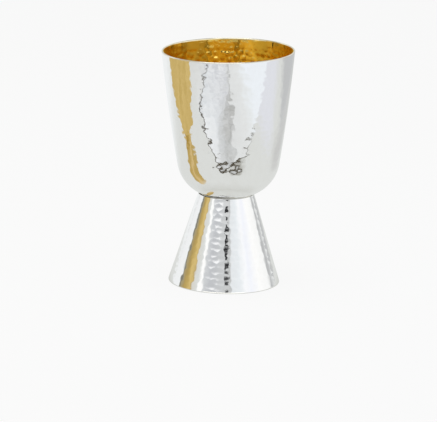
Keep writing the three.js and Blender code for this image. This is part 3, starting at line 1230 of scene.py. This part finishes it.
# %% [markdown]
# ## The tent
#
# The foot leans back, so its mirror rays go up, and what it shows is a ring of the tent: cloth, a warm
# board at the left between two dark gaps, and the dark frame at the right. One ramp over the azimuth holds
# it. The bowl's inside sends its rays out after two mirrors, most of them to the far side of the tent, and
# a second ramp holds that, with the dark posts that stand there. The sky tells the two kinds of ray apart
# by how many mirrors they have met.

# %% The rings of the tent
# Azimuth from the camera's side in degrees, positive to the right, and the colour there.
TENT_STOPS = [
    (-180, (0.64, 0.66, 0.63)), (-142, (0.72, 0.74, 0.74)), (-128, (0.90, 0.91, 0.93)),
    (-106.2, (0.92, 0.94, 0.95)), (-104.7, (0.22, 0.22, 0.19)), (-101, (0.25, 0.235, 0.18)),
    (-99.5, (0.42, 0.36, 0.215)), (-93, (0.44, 0.32, 0.115)), (-86, (0.54, 0.39, 0.13)),
    (-79, (0.70, 0.525, 0.205)), (-74, (0.66, 0.50, 0.20)), (-71.5, (0.52, 0.38, 0.15)),
    (-70, (0.72, 0.71, 0.66)), (-58, (0.74, 0.76, 0.75)), (-55, (1.06, 1.06, 1.06)),
    (-49, (1.03, 1.03, 1.03)), (-46, (0.66, 0.68, 0.70)), (-30, (0.55, 0.565, 0.595)),
    (-8, (0.60, 0.615, 0.63)), (10, (0.62, 0.63, 0.64)), (13.5, (0.50, 0.51, 0.51)),
    (16, (0.80, 0.83, 0.86)), (36, (0.85, 0.89, 0.925)), (50, (1.0, 1.01, 1.04)),
    (62, (0.94, 0.96, 1.03)), (82, (1.04, 1.04, 1.04)), (112, (0.97, 0.98, 0.98)),
    (118, (0.50, 0.51, 0.52)), (123, (0.54, 0.55, 0.56)), (132, (0.84, 0.86, 0.86)),
    (155, (0.72, 0.74, 0.72)),
]
INSIDE_STOPS = [
    (-180, (0.83, 0.745, 0.42)), (-113, (0.83, 0.745, 0.42)), (-109, (0.32, 0.31, 0.20)),
    (-100, (0.37, 0.35, 0.23)), (-92, (0.56, 0.50, 0.36)), (-63, (0.66, 0.60, 0.44)),
    (-30, (0.66, 0.59, 0.42)), (-17, (0.44, 0.40, 0.30)), (-5, (0.52, 0.47, 0.34)),
    (10, (0.84, 0.74, 0.52)), (45, (0.72, 0.70, 0.54)), (78, (0.84, 0.81, 0.64)),
    (107, (1.10, 1.03, 0.82)), (125, (1.00, 0.94, 0.74)), (138, (0.66, 0.62, 0.42)),
    (143, (0.34, 0.33, 0.21)), (153, (0.32, 0.31, 0.20)), (158, (0.68, 0.63, 0.42)),
    (164, (0.82, 0.74, 0.42)),
]
TWICE = 2.5  # the sky counts one bounce more than the mirrors met
print("stops of the tent:", len(TENT_STOPS), "and as the inside sees it:", len(INSIDE_STOPS))

# %% [markdown]
# ## Above the ring
#
# Higher up the tent is bright in front and to the left, and every hammer mark on the foot catches a piece
# of it as a white crescent. The ceiling is dim. A window low in front is seen only by rays that leave the
# bowl's inside after one mirror, from the steep edge of a mark, and it makes the thin bright arcs there.

# %% The tent by direction


def rise_of(degrees):
    """The upward part of a unit direction at an elevation."""
    return math.sin(math.radians(degrees))


CLOTH_LOW, CLOTH_HIGH, CLOTH_COLOUR = rise_of(19.3), rise_of(23.2), (1.02, 1.03, 1.05)
CLOTH_SIDE = (-46.0, -13.0, 5.0)  # in azimuth
CLOTH_ELSEWHERE = 0.2
WINDOW_RISE = (rise_of(9.5), rise_of(13.5), 0.02)
WINDOW_SIDE = (-42.0, 42.0, 8.0)
WINDOW_COLOUR = (1.9, 1.85, 1.7)
CEILING_LOW, CEILING_HIGH, CEILING_COLOUR = 0.50, 0.72, (0.50, 0.51, 0.50)
HALF_TURN = 180.0


def tent_tones(tree):
    """Colour by direction: the ring for one mirror or for two, the window over the ring, then the bright
    cloth and the ceiling by how far up the direction goes."""
    x, y, z = place_axes(tree, "Generated")
    path = add_node(tree, "ShaderNodeLightPath")
    degrees = math_node(tree, "DEGREES", math_node(tree, "ARCTAN2", x, math_node(tree, "MULTIPLY", y, -1.0)))
    twice = math_node(tree, "GREATER_THAN", path.outputs["Ray Depth"], TWICE)
    once = math_node(tree, "SUBTRACT", 1.0, twice)
    ahead = both(tree, soft_band(tree, degrees, *WINDOW_SIDE), once)
    window = both(tree, soft_band(tree, z, *WINDOW_RISE), ahead)
    aside = soft_band(tree, degrees, *CLOTH_SIDE)
    share = math_node(tree, "MULTIPLY_ADD", aside, 1.0 - CLOTH_ELSEWHERE, CLOTH_ELSEWHERE)
    cloth = both(tree, soft_step(tree, z, CLOTH_LOW, CLOTH_HIGH), share)
    colour = ramp_over(tree, degrees, TENT_STOPS, HALF_TURN)
    colour = painted(tree, colour, twice, ramp_over(tree, degrees, INSIDE_STOPS, HALF_TURN))
    colour = painted(tree, colour, window, WINDOW_COLOUR)
    colour = painted(tree, colour, cloth, CLOTH_COLOUR)
    return painted(tree, colour, soft_step(tree, z, CEILING_LOW, CEILING_HIGH), CEILING_COLOUR)


def add_tent():
    """The world: white to the camera, and the tent's colours to everything else."""
    world = bpy.data.worlds.new("tent")
    bpy.context.scene.world = world
    world.use_nodes = True
    tree = world.node_tree
    tree.nodes.clear()
    output = add_node(tree, "ShaderNodeOutputWorld")
    backdrop = add_node(tree, "ShaderNodeBackground", {"Color": (WHITE, WHITE, WHITE, 1.0)})
    tent = add_node(tree, "ShaderNodeBackground")
    join(
        tree,
        (tent_tones(tree), tent.inputs["Color"]),
        (by_ray(tree, backdrop, tent), output.inputs["Surface"]),
    )
    return world


tent_world = add_tent()
print("tent with", len(tent_world.node_tree.nodes), "nodes")

# %% [markdown]
# ## A light in the ceiling
#
# Emission and mirrors throw almost no shadow, so one soft lamp above gives the floor its breath of shadow.
# It is weak, wide and a little to the left of the cup.

# %% Ceiling light
LIGHT_PLACE = (-0.15, -0.1, 1.1)
LIGHT_WIDTH, LIGHT_DEPTH = 0.7, 0.5
LIGHT_WATTS = 2.6
light = bpy.data.lights.new("ceiling light", "AREA")
light.shape = "RECTANGLE"
light.size, light.size_y = LIGHT_WIDTH, LIGHT_DEPTH
light.energy = LIGHT_WATTS
ceiling_light = new_object("ceiling light", light)
ceiling_light.location = LIGHT_PLACE
print("ceiling light:", light.energy, "W")
